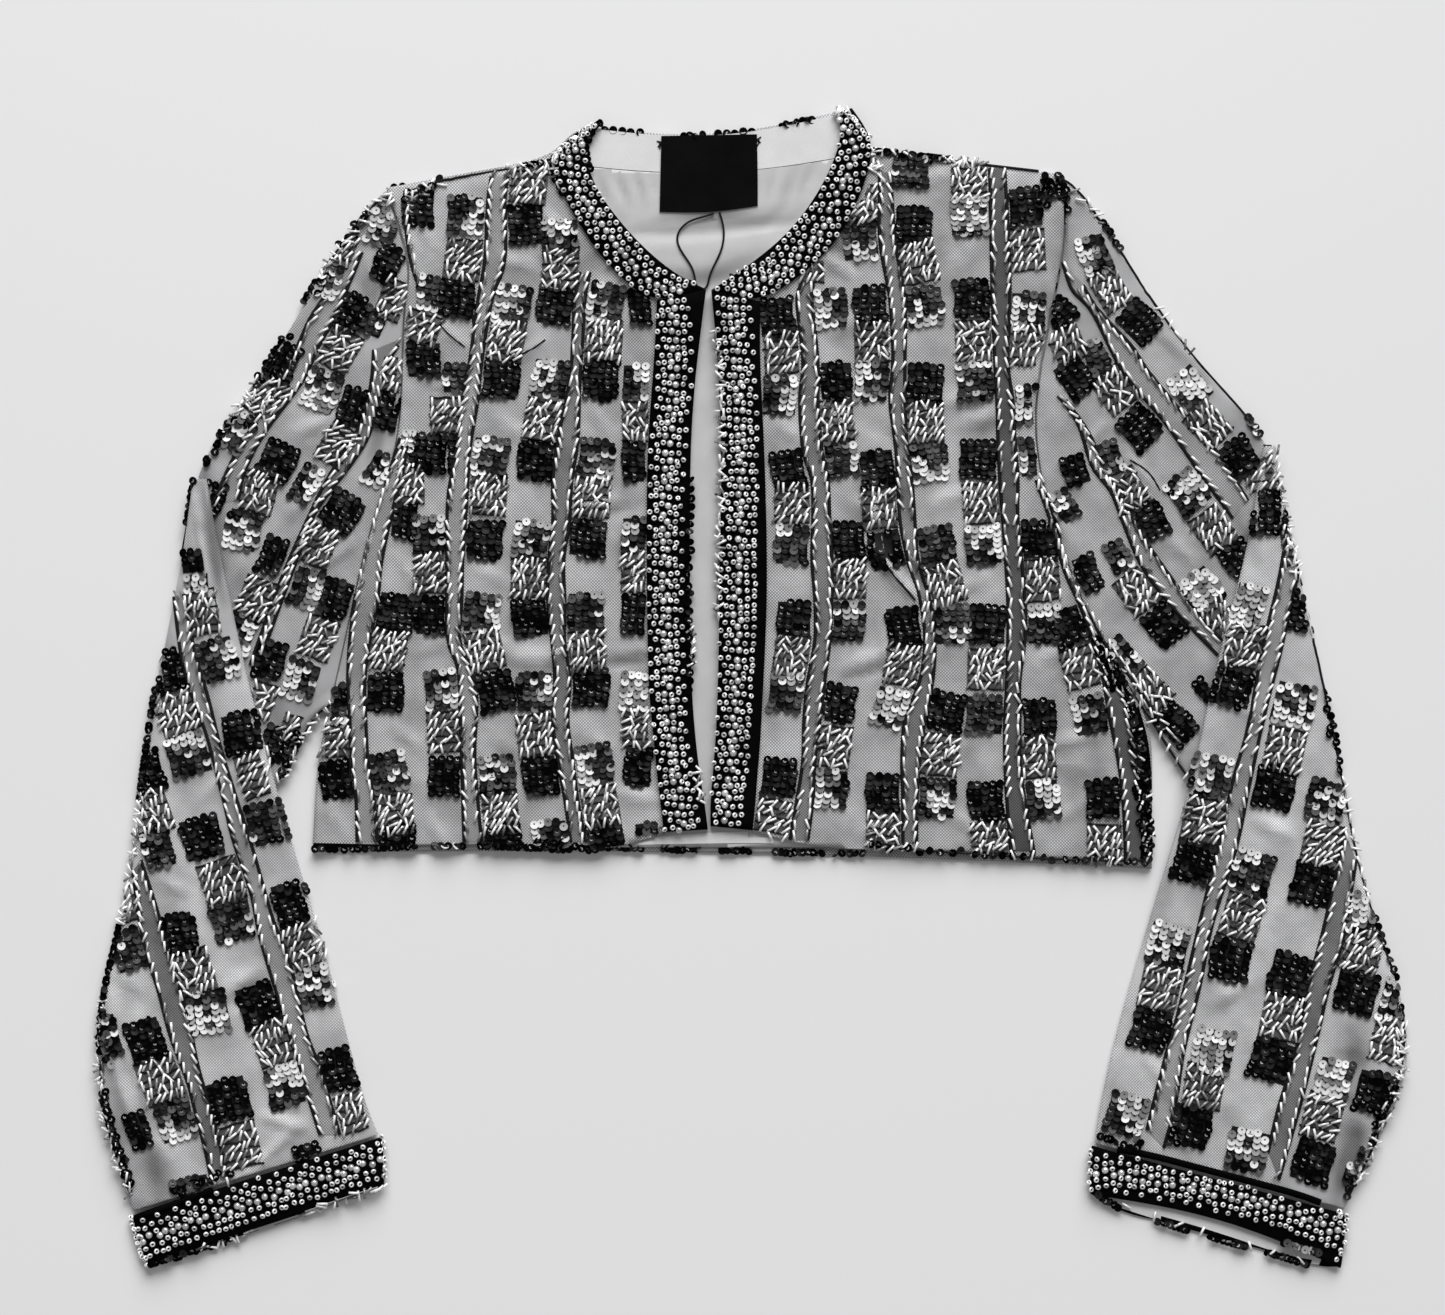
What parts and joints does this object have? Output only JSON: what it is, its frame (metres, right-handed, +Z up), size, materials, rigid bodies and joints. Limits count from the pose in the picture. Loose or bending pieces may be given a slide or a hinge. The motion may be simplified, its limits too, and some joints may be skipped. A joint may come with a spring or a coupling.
{
  "type": "beaded jacket",
  "caption": "Cropped collarless open-front jacket laid flat, sleeves bent at the elbows, in beaded net with beaded bands at neck, front and cuffs.",
  "frame": {"origin": "on the surface it lies on, under the middle of the whole outline", "axes": "+X across the jacket from its right sleeve to its left one, +Y towards the neck, +Z up out of the surface"},
  "size_m": [0.762, 0.677, 0.0108],
  "materials": {
    "beaded_net": "fine dark net over pale lining, with sequins and bugle beads",
    "black_ribbon": "matt black ribbon under silver beads",
    "pale_lining": "soft satin",
    "label_weave": "plain woven, blank",
    "black_cord": "thin twisted cord"
  },
  "bodies": {
    "root": {"back_panel": "beaded_net", "front_left": "beaded_net", "front_right": "beaded_net", "sleeve_left_upper": "beaded_net", "sleeve_left_lower": "beaded_net", "sleeve_right_upper": "beaded_net", "sleeve_right_lower": "beaded_net", "cuff_left": "black_ribbon", "cuff_right": "black_ribbon", "band_front_left": "black_ribbon", "band_front_right": "black_ribbon", "band_neck_left": "black_ribbon", "band_neck_right": "black_ribbon", "lining_back": "pale_lining", "facing_back_neck": "pale_lining", "label": "label_weave", "hanger_loop": "black_cord"}
  },
  "joints": []
}
